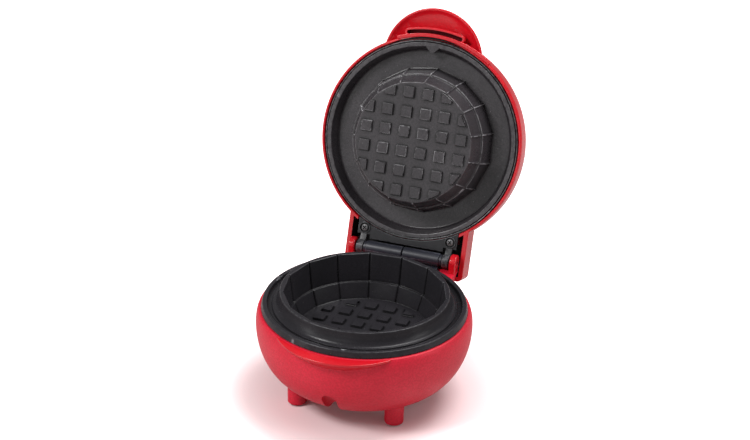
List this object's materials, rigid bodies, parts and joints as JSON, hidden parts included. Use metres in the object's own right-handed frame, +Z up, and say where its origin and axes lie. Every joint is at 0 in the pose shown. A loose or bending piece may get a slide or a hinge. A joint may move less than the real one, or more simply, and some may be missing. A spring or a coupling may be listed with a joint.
{
  "type": "waffle bowl maker",
  "caption": "Small round countertop iron with a hinged lid: a ribbed two-step punch closes into a matching cavity and bakes one bowl-shaped waffle.",
  "frame": {"origin": "centre of the footprint of the whole maker with its lid open, on the surface that it stands on", "axes": "+Z up, the front with the handle's side faces -Y, +X to the right along the hinge rod"},
  "size_m": [0.13, 0.2136, 0.2009],
  "materials": {
    "red_shell": "red moulding, glossy",
    "nonstick_coating": "die-cast plate with a dark grey non-stick coating, satin",
    "black_bracket": "black, satin",
    "screw_steel": "blackened steel",
    "bright_steel": "bright sheet steel",
    "element_sheath": "dull steel tube",
    "pad_rubber": "black rubber",
    "black_plastic": "black, matt",
    "terminal_nylon": "natural nylon",
    "wire_insulation": "silicone sleeve",
    "amber_lens": "clear amber"
  },
  "bodies": {
    "base": {"base_hinge_leaf": "black_bracket", "base_shell": "red_shell", "base_wire_left": "wire_insulation", "base_wire_right": "wire_insulation", "bottom_cover": "red_shell", "cord_bush": "black_plastic", "cover_screw_1": "bright_steel", "cover_screw_2": "bright_steel", "cover_screw_3": "bright_steel", "foot_pad_front_left": "pad_rubber", "foot_pad_front_right": "pad_rubber", "foot_pad_rear_left": "pad_rubber", "foot_pad_rear_right": "pad_rubber", "hinge_rod": "screw_steel", "lower_heat_reflector": "bright_steel", "lower_heating_element": "element_sheath", "lower_plate": "nonstick_coating", "terminal_block": "terminal_nylon", "thermal_fuse": "bright_steel", "thermostat": "bright_steel"},
    "lid": {"indicator_lamp": "terminal_nylon", "indicator_lens": "amber_lens", "lamp_holder": "black_plastic", "lid_hinge_leaf": "black_bracket", "lid_hinge_screw_left": "screw_steel", "lid_hinge_screw_right": "screw_steel", "lid_shell": "red_shell", "lid_wire_left": "wire_insulation", "lid_wire_right": "wire_insulation", "upper_heat_reflector": "bright_steel", "upper_heating_element": "element_sheath", "upper_plate": "nonstick_coating", "upper_reflector_screw_1": "bright_steel", "upper_reflector_screw_2": "bright_steel", "upper_reflector_screw_3": "bright_steel"}
  },
  "joints": [
    {"name": "lid_hinge", "type": "hinge", "parent": "base", "child": "lid", "pos_m": [0, 0.03377, 0.0574], "axis": [1, 0, 0], "range_deg": [0, 109]}
  ]
}
